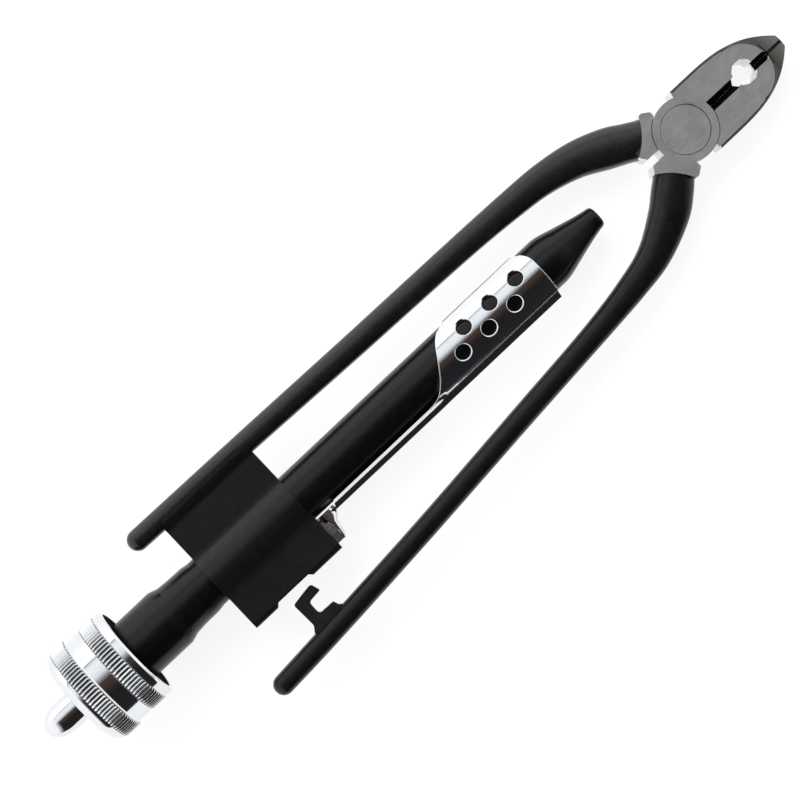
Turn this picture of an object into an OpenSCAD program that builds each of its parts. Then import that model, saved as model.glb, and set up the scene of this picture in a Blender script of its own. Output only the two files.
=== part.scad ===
// Lockwire twisting pliers. Two forged halves turn on a flush rivet. A tube beside the rear
// handle holds a spiral spindle: its knob is pulled back, a fixed nut makes it spin, and a
// spring returns it. A thumb slide on the tube locks the handles by a hook on the front handle.
// X runs along the tool towards the jaws, Y towards the rear handle, Z along the rivet.

/* [Head] */
// Thickness between the ground faces
head_t = 9.5; // [9:0.25:10]
// Half of the head's width across the jaws
head_half = 9.1; // [8.8:0.1:9.4]
// Distance from the rivet to the tip of the jaws
jaw_reach = 31.7; // [30.5:0.1:32.5]
// Radius of the round lap around the rivet
lap_r = 8.05; // [7.8:0.05:8.2]
// Radius of the rivet's flush heads
rivet_r = 6; // [5.5:0.1:6.2]
// Width of the recess above the cutting edges
cutter_w = 2.85; // [2.4:0.05:3.2]

/* [Handles] */
// Distance from the rivet to the handle ends
handle_reach = 163.6; // [160:0.2:166]
// Thickness of the handles in the plane of the tool
handle_w = 5.5; // [5:0.1:6]
// Thickness of the handles along the rivet's axis
handle_d = 6.2; // [5.6:0.1:6.2]

/* [Tube] */
// Outer radius of the tube
tube_r = 6.5; // [6.3:0.05:6.5]
// Bore radius of the tube
tube_bore_r = 5.4; // [5.2:0.05:5.5]
// Outer radius of the flared collar at the knob end
collar_r = 7.85; // [7.5:0.05:8.2]
// Distance of the tube's axis from the rivet's axis
tube_y = -0.4; // [-0.8:0.1:0]

/* [Spindle] */
// Advance of the spiral in one turn
lead = 25; // [20:1:30]
// Width of the spiral bar
spiral_w = 5.6; // [5:0.1:5.8]
// Thickness of the spiral bar
spiral_t = 2.4; // [2:0.1:2.6]
// Clearance of the spiral bar in its nut
spiral_gap = 0.24; // [0.15:0.01:0.3]
// Number of turns of the return spring
spring_turns = 24; // [18:1:28]
// Wire diameter of the return spring
spring_wire = 1.1; // [0.9:0.1:1.2]

/* [Knob] */
// Radius over the knurl at the far end
knob_end_r = 13.5; // [13:0.1:14]
// Radius over the knurl at the mouth
knob_mouth_r = 12.8; // [12.4:0.1:13]
// Spacing of the knurl's teeth
knurl_pitch = 0.97; // [0.8:0.01:1.4]
// Height of the knurl's teeth
knurl_h = 0.25; // [0.15:0.05:0.35]

/* [Bracket and slide] */
// Thickness of the sheet
sheet = 0.9; // [0.7:0.1:0.9]
// Length of the bracket along the tool
bracket_len = 27.5; // [26:0.5:28]
// Radius of the holes in the thumb shield
shield_hole_r = 1.95; // [1.6:0.05:2.1]

/* [Hidden] */
$fn = 64;

eps = 0.01;
slip = 0.05;
half_t = head_t / 2;

// head
lap_gap = 0.15;
jaw_root_x = 3.1;
nose_start = 8;
nose_curve = 25.4;
nose_arc_x = 18.9;
nose_arc_r = 7.5;
nose_slope = 0.42;
edge_bevel_w = 0.65;
edge_bevel_d = 1;
cutter_x = [7.7, 17];
front_slot_x = [22, 25.7];
front_slot_w = 2.3;
grip_hole_x = 19.5;
grip_upper = [[-3.4, -eps], [-3.3, 0], [-2.3, 2.4], [-0.9, 3.5], [1.2, 3.5], [2.7, 2.3], [3.3, 0],
    [3.4, -eps]];
grip_lower = [[-3.4, -eps], [-3.3, 0], [-2.2, 1.7], [-0.8, 2.5], [1.4, 2.5], [2.5, 1.6], [3.3, 0],
    [3.4, -eps]];
tooth_pitch = 0.9;
tooth_count = 5;
neck = [[-3.4, 7.1], [-3.3, 8.8], [-5.2, 10.1], [-6.4, 10], [-12.9, 2.9], [-11.6, 0.95],
    [-7.6, 0.95], [0, 4]];
neck_cut_r = 16;
neck_cut_at = [-20.6, 16.7];
rivet_shank_r = 4;
rivet_head_t = 1.6;

// handles: [x, y, thickness in the plane, thickness along the rivet]
neck_w = 9.6;
neck_d = 9;
rear_path = [[-7.9, 5.1, neck_w, neck_d], [-11.8, 7.3, neck_w, neck_d],
    [-16.5, 9.8, 10, 8.4], [-23.5, 12.8, 9, 7.4], [-32, 14.7, 7.9, 6.6],
    [-41, 15.5, handle_w + 1.7, handle_d], [-58, 16.2, handle_w + 1, handle_d],
    [-92, 16.8, handle_w + 0.6, handle_d], [-126, 17.6, handle_w + 0.2, handle_d],
    [-handle_reach + 2.6, 18.2, handle_w - 0.1, handle_d]];
front_path = [[-7.9, -5.3, neck_w, neck_d], [-11.7, -8.6, neck_w + 0.6, neck_d],
    [-16.4, -12.2, 9.9, 8.4], [-25, -16.5, 8.3, 7.2], [-34, -18.6, 7.1, 6.6],
    [-49, -20.6, handle_w + 0.5, handle_d], [-75, -23.1, handle_w + 0.1, handle_d],
    [-109, -26.4, handle_w - 0.1, handle_d], [-142, -29.1, handle_w - 0.1, handle_d],
    [-handle_reach + 4.3, -30.3, handle_w - 0.3, handle_d]];
path_steps = 4;
section_sides = 16;
section_power = 2.5;

// tube, along X
tube_end_x = -185;
collar_x = -168;
rear_tube = [[-165.6, 7.1], [-163, 6.9], [-158.4, 6.8], [-156.6, tube_r]];
nose_profile = [[-44.8, 6.5], [-43.3, 6.3], [-41.4, 5.85], [-39.5, 5.3], [-37.3, 4.7],
    [-34.3, 3.9], [-31.6, 3.25], [-29.4, 2.85], [-28.8, 2.5]];
nose_bore_r = 1.5;
nose_wall = 1.1;
nut_x = [-183.4, -174.4];
nut_r = 6.6;
nut_web = 3.6;
circlip_w = 0.8;
circlip_groove = 0.5;
nut_pin_x = -181.4;
nut_pin_r = 0.75;

// spindle, along X
seat_x = [-57, -54.4];
seat_r = 5.15;
spiral_x = [-186.2, -76];
front_journal_r = 1.9;
front_journal_x = -51;
rear_journal_r = 2.4;
rear_journal_x = -203;
hub_x = [-189.2, -186.3];
hub_r = 6.4;
hub_cone = 2;
hub_pin_r = 0.9;
spring_mean_r = 4.25;
spring_sides = 6;
spring_steps = 12;

// knob, along X
knob_x = [-197.2, -179];
knob_hole_r = 10.2;
knob_cavity_r = 9.6;
knob_cavity_x = -189.6;
end_knurl_x = [-194.4, -190.1];
mouth_knurl_x = [-185.6, -181.4];
cap_r = 9.4;
cap_t = 1;
counterbore_r = 5.3;
counterbore_x = -193.2;
flange_r = 4.9;
bush_r = 3.7;
bush_x = [-193.2, -191.6];
dome_r = 4.1;
dome_len = 6.2;
dome_tip_x = -207.7;

// bracket
bracket_x = [-127.1 - bracket_len, -127.1];
web_z = handle_d / 2 + slip;
tube_gap = 0.05;
bulge_r = tube_r + tube_gap + sheet;
bracket_top = 18.1;
bracket_bottom = -16.2;
saddle = [[16.8, web_z + sheet], [15.7, 3.7], [14.9, 3.2], [14.1, 3.1]];
cheek_z = 5;
flare = [[-4.8, 5.5], [-7.4, cheek_z]];
fold_r = 1.5;
mouth_x = [-147.8, -136.3];

// thumb slide
slide_gap = 0.15;
slide_t = 0.8;
slide_r = tube_r + slide_gap;
shield_front_x = -48.2;
slide_open = [58, 178];
shield_edge = [[-90, -6.5], [-88.3, -6.4], [-86, -5.8], [-83.3, -3.3], [-80.5, 0.6],
    [-78.4, 3.5], [-76.6, 5.1], [-74.4, 6.1], [-72, 6.7]];
shield_corner = [4.6, 4.7];
rail_y = -8.7;
rail = [[-6.58, 4.1], [rail_y, 2.9]];
strip_x = -152;
strip_top = -6.5;
strip_step = [-121.6, -7.4];
upper_hole_x = -70.8;
lower_hole_x = -74.9;
hole_pitch = 8.35;
upper_hole_angle = 20;
lower_hole_angle = -14.5;
latch_x = [-136.6, -131, -124];
latch_y = [-15, -12];
latch_t = 2.4;
leaf_t = 0.4;
leaf_y = [-12.4, -9.6];
leaf_path = [[-125.6, 1.45], [-130.6, 1.45], [-134.5, 2.3], [-138.5, 3.5], [-140.4, 3.8],
    [-142.4, 3.4]];

// hook on the front handle
hook_t = 2.8;
hook_outline = [[-144.6, -28.2], [-144.6, -27.2], [-145.7, -26.9], [-145.5, -26.3],
    [-144.6, -25], [-144.8, -19.3], [-144.4, -18.2], [-142, -17.8], [-139.3, -17.5],
    [-138.3, -18.2], [-137.9, -19.2], [-138.3, -19.9], [-141.2, -20.4], [-141.7, -21.2],
    [-141.6, -22.9], [-140.8, -23.8], [-138.7, -24], [-137.3, -24.4], [-136.9, -25.1],
    [-136.3, -25.7], [-136.3, -26.7], [-137, -27.2], [-137, -28.2]];
tenon_gap = 0.02;

// the object's own middle and lowest point go to the origin
mid_x = (dome_tip_x + jaw_reach) / 2;
mid_y = (max([for (s = rear_path) s[1] + s[2] / 2])
    + min([for (s = front_path) s[1] - s[2] / 2])) / 2;

// ---- helpers ----

module placed() {
    translate([-mid_x, -mid_y, knob_end_r]) children();
}

// things built about the tube's axis
module on_tube() {
    translate([0, tube_y, 0]) children();
}

// turns a profile of [x, radius] points into a solid about X
module turned(profile) {
    rotate([0, 90, 0]) rotate_extrude() polygon([for (p = profile) [p[1], p[0]]]);
}

// a plain disc or bar about X
module rod(x0, x1, r) {
    translate([x0, 0, 0]) rotate([0, 90, 0]) cylinder(h = x1 - x0, r = r);
}

// a bar twisted about X, in phase with every other one
module spiral(x0, x1, w, t) {
    turn = 360 * (x1 - x0) / lead;
    translate([x0, 0, 0])
        rotate([0, 90, 0])
            rotate(360 * x0 / lead)
                linear_extrude(height = x1 - x0, twist = -turn, slices = ceil(turn / 8), $fn = 4)
                    square([t, w], center = true);
}

// skins rings of equal length, listed in order, into one closed solid
module skin(rings) {
    n = len(rings[0]);
    last = len(rings) - 1;
    points = [for (ring = rings) for (p = ring) p];
    sides = [for (i = [0 : last - 1]) for (j = [0 : n - 1]) for (half = [0, 1])
        let (a = i * n + j, b = i * n + (j + 1) % n)
        half == 0 ? [a, a + n, b + n] : [a, b + n, b]];
    ends = [[for (j = [0 : n - 1]) j], [for (j = [n - 1 : -1 : 0]) last * n + j]];
    polyhedron(points = points, faces = concat(sides, ends), convexity = 6);
}

function spline(p0, p1, p2, p3, t) =
    0.5 * (2 * p1 + (p2 - p0) * t + (2 * p0 - 5 * p1 + 4 * p2 - p3) * t * t
        + (3 * p1 - p0 - 3 * p2 + p3) * t * t * t);

// a smooth run of [x, y, w, d] through the given stations
function smooth_path(s) = [
    for (i = [0 : len(s) - 2]) for (k = [0 : path_steps - 1])
        spline(s[max(i - 1, 0)], s[i], s[i + 1], s[min(i + 2, len(s) - 1)], k / path_steps),
    s[len(s) - 1]];

function unit(v) = v / norm(v);

// an outline symmetrical about Z = 0 from its +Z half, [y, z], drawn in by inset
function both_sides(half, inset) = concat(
    [for (p = half) [p[0], p[1] - inset]],
    [for (i = [len(half) - 1 : -1 : 0]) [half[i][0], inset - half[i][1]]]);

function power_of(v) = sign(v) * pow(abs(v), 2 / section_power);

// one rounded section at station s, square to the direction dir in the XY plane
function section(s, dir) = [
    for (k = [0 : section_sides - 1])
        let (a = 360 * k / section_sides,
            across = power_of(cos(a)) * s[2] / 2,
            up = power_of(sin(a)) * s[3] / 2)
        [s[0] - dir[1] * across, s[1] + dir[0] * across, up]];

function heading(p, i) =
    let (a = p[max(i - 1, 0)], b = p[min(i + 1, len(p) - 1)])
    unit([b[0] - a[0], b[1] - a[1]]);

// the round end that closes a handle
function end_sections(s, dir) = [
    for (a = [35, 60, 80])
        section([s[0] + dir[0] * sin(a) * s[2] / 2, s[1] + dir[1] * sin(a) * s[2] / 2,
            s[2] * cos(a), s[3] * cos(a)], dir)];

module handle(stations) {
    p = smooth_path(stations);
    last = len(p) - 1;
    skin(concat([for (i = [0 : last]) section(p[i], heading(p, i))],
        end_sections(p[last], heading(p, last))));
}

// ---- head ----

function jaw_half(x) = head_half * (1 - pow(max(0, x - nose_start) / nose_curve, 3));

function flat_half(x) =
    let (inset = jaw_half(x) - edge_bevel_w,
        arc = sqrt(max(0, pow(nose_arc_r, 2) - pow(x - nose_arc_x, 2))))
    max(0.4, x < nose_arc_x ? inset : min(inset, arc));

function centre_z(x) = half_t - nose_slope * max(0, x - nose_arc_x - nose_arc_r);

function edge_z(x) =
    let (run = max(0, x - nose_arc_x + 1) / (jaw_reach - nose_arc_x + 1))
    half_t - edge_bevel_d - 1.8 * pow(run, 1.5);

function jaw_ring(x) =
    let (h = jaw_half(x), f = min(flat_half(x), h - 0.1), c = centre_z(x),
        e = min(edge_z(x), c - 0.1))
    [[x, slip, c], [x, f, c], [x, h, e], [x, h, -e], [x, f, -c], [x, slip, -c]];

// one jaw, on the +Y side of the parting plane
module jaw_blank() {
    rings = 26;
    step = (jaw_reach - jaw_root_x) / (rings - 1);
    skin([for (i = [rings - 1 : -1 : 0]) jaw_ring(jaw_root_x + i * step)]);
}

// recess over a cutting edge, open to one ground face
module edge_recess(x0, x1, w) {
    translate([x0, 0, 0])
        rotate([90, 0, 90])
            linear_extrude(x1 - x0)
                polygon([[-1, 0.5], [slip, 0.5], [w / 2, 1.9], [w / 2, half_t + 1],
                    [-1, half_t + 1]]);
}

module jaw_cuts(notch) {
    for (side = [0, 1]) mirror([0, 0, side]) {
        edge_recess(cutter_x[0], cutter_x[1], cutter_w);
        edge_recess(front_slot_x[0], front_slot_x[1], front_slot_w);
        translate([0, 0, 0.5])
            linear_extrude(half_t)
                polygon([[front_slot_x[1] - eps, -1], [front_slot_x[1] - eps, front_slot_w / 2],
                    [front_slot_x[1] + 1.6, 0], [front_slot_x[1] + 1.6, -1]]);
    }
    translate([grip_hole_x, 0, -head_t])
        linear_extrude(2 * head_t)
            polygon(notch);
    for (i = [1 : tooth_count])
        translate([jaw_reach - 0.2 - i * tooth_pitch, slip, 0])
            rotate(45)
                cube([0.4, 0.4, 2 * head_t], center = true);
}

// neck plate on the +Y side, between the lap and the handle
module neck_plate() {
    difference() {
        translate([0, 0, -half_t]) linear_extrude(head_t) polygon(neck);
        translate([neck_cut_at[0], neck_cut_at[1], -head_t])
            cylinder(h = 2 * head_t, r = neck_cut_r, $fn = 128);
    }
}

// a half whose jaw is at +Y and whose lap is the front one; the handle starts at -Y
module half_head(notch) {
    difference() {
        union() {
            difference() {
                union() {
                    difference() {
                        jaw_blank();
                        jaw_cuts(notch);
                    }
                    mirror([0, 1, 0]) neck_plate();
                }
                translate([0, 0, -head_t])
                    cylinder(h = head_t + slip, r = lap_r + lap_gap, $fn = 128);
                translate([-lap_r, -lap_r, -eps]) cube([2 * lap_r, 2 * lap_r, slip + eps]);
            }
            translate([0, 0, slip]) cylinder(h = half_t - slip, r = lap_r, $fn = 128);
        }
        children();
    }
}

module rivet_holes(shank, head) {
    translate([0, 0, -head_t]) cylinder(h = 2 * head_t, r = rivet_shank_r + shank);
    translate([0, 0, half_t - rivet_head_t - slip])
        cylinder(h = rivet_head_t + 1, r = rivet_r + head);
}

// ---- sub-parts ----

module front_half() placed() color("#3a3b3d") {
    half_head(grip_upper) rivet_holes(slip, slip);
    difference() {
        handle(front_path);
        latch_blank(tenon_gap);
    }
}

module rear_half() placed() color("#2f3032") {
    mirror([0, 0, 1]) mirror([0, 1, 0]) half_head(grip_lower) rivet_holes(0.02, 0.02);
    handle(rear_path);
}

module pivot_rivet() placed() color("#a9abad") {
    translate([0, 0, -half_t]) cylinder(h = head_t, r = rivet_shank_r);
    for (side = [0, 1]) mirror([0, 0, side])
        translate([0, 0, half_t - rivet_head_t]) cylinder(h = rivet_head_t, r = rivet_r);
}

module latch_blank(grow) {
    translate([0, 0, -hook_t / 2 - grow])
        linear_extrude(hook_t + 2 * grow)
            polygon([for (p = hook_outline) [p[0] + (p[0] > -141 ? grow : -grow),
                p[1] - (p[1] < -26.6 ? grow : 0)]]);
}

module latch_hook() placed() color("#1b1b1c") latch_blank(0);

// cross-section of the bracket, [y, z]: a saddle on the handle, narrow walls, a round bulge
// about the tube, then two cheeks joined along the bottom
module bracket_section(inset, open_top) {
    top = bracket_top + (open_top ? 1 : 0);
    bottom = bracket_bottom + inset;
    corner = fold_r - inset;
    upper = concat([[top, web_z + sheet]], saddle, [[0, saddle[3][1]]]);
    lower = [[-2, cheek_z], flare[0], flare[1], [bottom + corner, cheek_z]];
    polygon(both_sides(upper, inset));
    translate([tube_y, 0]) circle(bulge_r - inset, $fn = 128);
    polygon(both_sides(lower, inset));
    for (side = [-1, 1])
        translate([bottom + corner, side * (cheek_z - inset - corner)]) circle(corner);
    translate([bottom, inset + corner - cheek_z])
        square([corner + 1, 2 * (cheek_z - inset - corner)]);
}

module bracket() placed() color("#262627") {
    corner = 3;
    difference() {
        translate([bracket_x[0], 0, 0])
            rotate([90, 0, 90])
                linear_extrude(bracket_len)
                    difference() {
                        bracket_section(0, false);
                        bracket_section(sheet, true);
                    }
        for (side = [0, 1])
            translate([bracket_x[side], bracket_top, -20])
                mirror([side, 0, 0])
                    difference() {
                        translate([-1, -corner, 0]) cube([corner + 1, corner + 1, 40]);
                        translate([corner, -corner, -1]) cylinder(h = 42, r = corner);
                    }
        translate([0, 0, -20])
            linear_extrude(40)
                polygon([[mouth_x[0] - 0.6, bracket_bottom - 1], [mouth_x[0], bracket_bottom],
                    [mouth_x[0] + 0.9, bracket_bottom + 0.95],
                    [mouth_x[1] - 0.9, bracket_bottom + 0.95],
                    [mouth_x[1], bracket_bottom], [mouth_x[1] + 0.6, bracket_bottom - 1]]);
    }
}

module barrel_tube() placed() on_tube() color("#202021") {
    outer = concat([[tube_end_x, collar_r - 0.4], [tube_end_x + 0.4, collar_r],
        [collar_x, collar_r]], rear_tube, nose_profile);
    inner = [[-28.8, nose_bore_r], [-31.6, nose_bore_r], [-37.3, 4.7 - nose_wall],
        [-44.8, tube_bore_r - 0.1], [-47, tube_bore_r], [nut_x[1], tube_bore_r],
        [nut_x[1], nut_r + 0.01], [tube_end_x, nut_r + 0.01]];
    groove_x = nut_x[0] - circlip_w - 0.1;
    difference() {
        turned(concat(outer, inner));
        rod(groove_x, groove_x + circlip_w + 0.1, nut_r + circlip_groove);
        for (side = [-1, 1])
            translate([nut_pin_x, 0, side * (nut_r + 1)])
                cylinder(h = 4, r = nut_pin_r + 0.01, center = true);
    }
}

module drive_nut() placed() on_tube() color("#8c8f92") {
    difference() {
        rod(nut_x[0], nut_x[1], nut_r);
        rod(nut_x[0] + nut_web, nut_x[1] + 1, 3.5);
        spiral(nut_x[0] - 1, nut_x[0] + nut_web + 1, spiral_w + 2 * spiral_gap,
            spiral_t + 2 * spiral_gap);
        for (side = [-1, 1])
            translate([nut_pin_x, 0, side * (nut_r - 0.6)])
                cylinder(h = 2.4, r = nut_pin_r + 0.01, center = true);
    }
}

module nut_pins() placed() on_tube() color("#9a9c9e") {
    for (side = [-1, 1])
        translate([nut_pin_x, 0, side * (nut_r + 0.2)])
            cylinder(h = 2, r = nut_pin_r, center = true);
}

module nut_circlip() placed() on_tube() color("#55585b") {
    x = nut_x[0] - circlip_w - 0.05;
    difference() {
        rod(x, x + circlip_w, nut_r + circlip_groove - 0.05);
        rod(x - 1, x + circlip_w + 1, nut_r - 1.1);
        translate([x - 1, 0, -1.2]) cube([circlip_w + 2, 2 * nut_r, 2.4]);
    }
}

// a round wire wound about X
module return_spring() placed() on_tube() color("#b5b7b9") {
    r = spring_wire / 2;
    x0 = nut_x[1] + r + slip;
    x1 = seat_x[0] - r - slip;
    n = spring_turns * spring_steps;
    skin([for (i = [0 : n])
        let (a = 360 * i / spring_steps, x = x0 + (x1 - x0) * i / n)
        [for (k = [0 : spring_sides - 1])
            let (b = 360 * k / spring_sides, m = spring_mean_r + r * cos(b))
            [x + r * sin(b), m * cos(a), m * sin(a)]]]);
}

module spring_seat() placed() on_tube() color("#8f9295") {
    difference() {
        union() {
            rod(seat_x[0], seat_x[1], seat_r);
            rod(seat_x[0] - 3, seat_x[1], 3.3);
        }
        rod(seat_x[0] - 4, seat_x[1] + 1, front_journal_r + slip);
    }
}

module spiral_shaft() placed() on_tube() color("#a2a5a8") {
    difference() {
        union() {
            spiral(spiral_x[0], spiral_x[1], spiral_w, spiral_t);
            rod(spiral_x[1] - 1, front_journal_x, front_journal_r);
            rod(rear_journal_x, spiral_x[0] + 1, rear_journal_r);
        }
        hub_pin_hole();
    }
}

module hub_pin_hole() {
    translate([(hub_x[0] + hub_x[1]) / 2, 0, 0])
        cylinder(h = 20, r = hub_pin_r + 0.01, center = true, $fn = 32);
}

module seat_nut() placed() on_tube() color("#7c7f82") {
    difference() {
        rod(seat_x[1] + slip, seat_x[1] + 1.6, 3.1);
        rod(seat_x[1] - 1, seat_x[1] + 3, front_journal_r + 0.01);
    }
}

module clutch_hub() placed() on_tube() color("#b9a15a") {
    difference() {
        turned([[hub_x[0] - hub_cone, 0], [hub_x[0] - hub_cone, hub_r - hub_cone],
            [hub_x[0], hub_r], [hub_x[1], hub_r], [hub_x[1], 0]]);
        rod(hub_x[0] - 3, hub_x[1] + 1, 3.1);
        hub_pin_hole();
    }
    difference() {
        rod(hub_x[0] - hub_cone, hub_x[1] - 0.2, 3.1);
        rod(hub_x[0] - 3, hub_x[1] + 1, rear_journal_r + 0.01);
        hub_pin_hole();
    }
}

module hub_pin() placed() on_tube() color("#86898c") {
    translate([(hub_x[0] + hub_x[1]) / 2, 0, 0])
        cylinder(h = 2 * hub_r - 0.8, r = hub_pin_r, center = true, $fn = 32);
}

module washer(x0, x1, outer, inner) {
    difference() {
        rod(x0, x1, outer);
        rod(x0 - 1, x1 + 1, inner);
    }
}

module thrust_washer() placed() on_tube() color("#b08d3c")
    washer(counterbore_x - 0.85, counterbore_x - slip, flange_r, rear_journal_r + slip);

module wave_washer() placed() on_tube() color("#74777a")
    washer(counterbore_x - 1.25, counterbore_x - 0.9, flange_r - 0.5, rear_journal_r + 0.2);

module dome_nut() placed() on_tube() color("#d7dadd") {
    flange_x = [counterbore_x - 2.6, counterbore_x - 1.3];
    arc = [for (a = [0 : 10 : 90]) [dome_tip_x + dome_len * (1 - sin(a)), dome_r * cos(a)]];
    difference() {
        turned(concat([[flange_x[1], 0], [flange_x[1], flange_r], [flange_x[0], flange_r],
            [flange_x[0], dome_r]], arc));
        rod(rear_journal_x - 0.3, flange_x[1] + 1, rear_journal_r + 0.01);
    }
}

// straight knurl: a ring of teeth around X
module knurl(x0, x1, r) {
    teeth = 4 * round(PI * r / knurl_pitch / 2);
    translate([x0, 0, 0])
        rotate([0, 90, 0])
            linear_extrude(x1 - x0)
                polygon([for (i = [0 : 2 * teeth - 1])
                    let (a = 180 * i / teeth, tip = i % 2 == 0 ? r : r - knurl_h)
                    [tip * cos(a), tip * sin(a)]]);
}

module knob_shell() placed() on_tube() color("#e1e3e5") {
    smooth_r = knob_mouth_r - 0.05;
    rim = [end_knurl_x[0] - knob_x[0], 3.4];
    rim_arc = [for (a = [0 : 15 : 90])
        [knob_x[0] + rim[0] * (1 - sin(a)), knob_end_r - 0.2 - rim[1] * (1 - cos(a))]];
    difference() {
        union() {
            turned(concat([[knob_x[1], 0], [knob_x[1], knob_mouth_r - 0.5],
                [knob_x[1] - 0.3, knob_mouth_r - 0.2], [knob_x[1] - 1, knob_mouth_r - 0.1],
                [mouth_knurl_x[1], smooth_r], [mouth_knurl_x[0] - 0.4, smooth_r],
                [end_knurl_x[1] + 0.3, knob_end_r - 0.45], [end_knurl_x[1], knob_end_r - 0.2]],
                rim_arc, [[knob_x[0], 0]]));
            knurl(end_knurl_x[0], end_knurl_x[1], knob_end_r);
            knurl(mouth_knurl_x[0], mouth_knurl_x[1], knob_mouth_r + 0.1);
        }
        turned([[knob_x[1] + 1, 0], [knob_x[1] + 1, knob_hole_r + 1.2],
            [knob_x[1] - 1, knob_hole_r + 1.2], [knob_x[1] - 2.6, knob_cavity_r],
            [knob_cavity_x, knob_cavity_r], [knob_cavity_x, hub_r + 0.15],
            [knob_cavity_x - hub_cone - 0.25, hub_r - hub_cone - 0.1],
            [knob_cavity_x - hub_cone - 0.25, bush_r + 0.01],
            [counterbore_x, bush_r + 0.01], [counterbore_x, counterbore_r],
            [knob_x[0] + cap_t + slip, counterbore_r], [knob_x[0] + cap_t + slip, cap_r + 0.02],
            [knob_x[0] - 1, cap_r + 0.02], [knob_x[0] - 1, 0]]);
    }
}

module knob_bush() placed() on_tube() color("#b08d3c")
    washer(bush_x[0] + 0.02, bush_x[1], bush_r, rear_journal_r + slip);

module knob_end_cap() placed() on_tube() color("#cfd2d5") {
    difference() {
        turned([[knob_x[0] + cap_t, 0], [knob_x[0] + cap_t, cap_r], [knob_x[0], cap_r],
            [knob_x[0] - 0.3, cap_r - 3], [knob_x[0] - 0.4, 0]]);
        rod(knob_x[0] - 1, knob_x[0] + 2, dome_r + 0.12);
    }
}

// channel below the tube, [y, z], its wall drawn in by inset
module rail_section(inset) {
    polygon(both_sides([[-1, rail[0][1]], rail[0], [rail_y + inset, rail[1][1]]], inset * 1.15));
}

// cross-section of the folded sheet, [y, z]: most of a sleeve about the tube, with a tapered
// channel along its lower side
module slide_section() {
    gap = [for (a = [slide_open[0] : 15 : slide_open[1]]) [15 * sin(a), 15 * cos(a)]];
    difference() {
        union() {
            translate([tube_y, 0]) circle(slide_r + slide_t, $fn = 128);
            rail_section(0);
        }
        translate([tube_y, 0]) circle(slide_r, $fn = 128);
        rail_section(slide_t);
        translate([tube_y, 0]) polygon(concat([[0, 0]], gap));
    }
}

// outline of the sleeve seen along Z: a long strip, then the shield with an S-shaped rear edge
// and a round front corner
module shield_outline() {
    y1 = tube_y + slide_r + slide_t + 1;
    y0 = tube_y - slide_r - slide_t - 2;
    corner = [for (a = [90 : -15 : 0])
        [shield_front_x + shield_corner[0] * (cos(a) - 1), 2 + shield_corner[1] * sin(a)]];
    polygon(concat([[strip_x, y0], [strip_x, strip_step[1]], strip_step,
        [strip_step[0] + 0.6, strip_top]], smooth_path(shield_edge),
        [[shield_edge[8][0], y1], [corner[0][0], y1]], corner,
        [[shield_front_x, y0 + 4], [shield_front_x - 0.6, y0]]));
}

module thumb_slide() placed() color("#dfe1e4") {
    difference() {
        intersection() {
            translate([strip_x - 1, 0, 0])
                rotate([90, 0, 90])
                    linear_extrude(shield_front_x - strip_x + 2) slide_section();
            translate([0, 0, -20]) linear_extrude(40) shield_outline();
        }
        for (i = [0 : 2]) {
            on_tube() shield_hole(upper_hole_x + i * hole_pitch, upper_hole_angle);
            on_tube() shield_hole(lower_hole_x + i * hole_pitch, lower_hole_angle);
        }
    }
    difference() {
        translate([0, 0, -latch_t / 2])
            linear_extrude(latch_t)
                polygon([[latch_x[1], rail_y + 0.4], [latch_x[1], latch_y[1]],
                    [latch_x[0] + 0.5, latch_y[1]], [latch_x[0], latch_y[1] - 0.5],
                    [latch_x[0], latch_y[0]], [latch_x[2] - 0.9, latch_y[0]],
                    [latch_x[2] - 0.2, latch_y[0] + 0.9], [latch_x[2], latch_y[0] + 3.4],
                    [latch_x[2] + 0.5, -9.8], [latch_x[2] + 1.8, -9], [latch_x[2] + 1.8, rail_y + 0.4]]);
        leaf_rivet_hole(0.01);
    }
}

module shield_hole(x, angle) {
    translate([x, 0, 0])
        rotate([-angle, 0, 0])
            cylinder(h = 20, r = shield_hole_r);
}

module leaf_rivet_hole(grow) {
    translate([-128.2, (leaf_y[0] + leaf_y[1]) / 2, -2])
        cylinder(h = 5, r = 0.8 + grow, $fn = 32);
}

// a bowed leaf that rubs inside the bracket and keeps the slide where it is put
module slide_leaf_spring() placed() color("#9b9ea1") {
    path = leaf_path;
    back = [for (p = path) [p[0], p[1] - leaf_t / 2]];
    face = [for (i = [len(path) - 1 : -1 : 0]) [path[i][0], path[i][1] + leaf_t / 2]];
    difference() {
        translate([0, leaf_y[1], 0])
            rotate([90, 0, 0])
                linear_extrude(leaf_y[1] - leaf_y[0])
                    polygon(concat(back, face));
        leaf_rivet_hole(0.01);
    }
}

module leaf_rivet() placed() color("#a9abad") {
    at = [-128.2, (leaf_y[0] + leaf_y[1]) / 2];
    difference() {
        leaf_rivet_hole(0);
        translate([at[0] - 2, at[1] - 2, 1.45 + leaf_t / 2 + 0.3]) cube([4, 4, 5]);
        translate([at[0] - 2, at[1] - 2, -6.5]) cube([4, 4, 5]);
    }
    translate([at[0], at[1], 1.45 + leaf_t / 2 + slip]) cylinder(h = 0.5, r = 1.3, $fn = 32);
    translate([at[0], at[1], -latch_t / 2 - 0.4 - slip]) cylinder(h = 0.4, r = 1.3, $fn = 32);
}

rear_half();
front_half();
pivot_rivet();
latch_hook();
bracket();
barrel_tube();
drive_nut();
nut_pins();
nut_circlip();
return_spring();
spring_seat();
spiral_shaft();
seat_nut();
clutch_hub();
hub_pin();
thrust_washer();
wave_washer();
dome_nut();
knob_shell();
knob_bush();
knob_end_cap();
thumb_slide();
slide_leaf_spring();
leaf_rivet();
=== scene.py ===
"""Looks of the lockwire twisting pliers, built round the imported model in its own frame.

Shapes are made in millimetres about the middle of the rivet: X runs to the jaws, Y to the rear
handle, Z along the rivet. place() then puts them into the frame, in metres.
"""

import math

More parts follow.
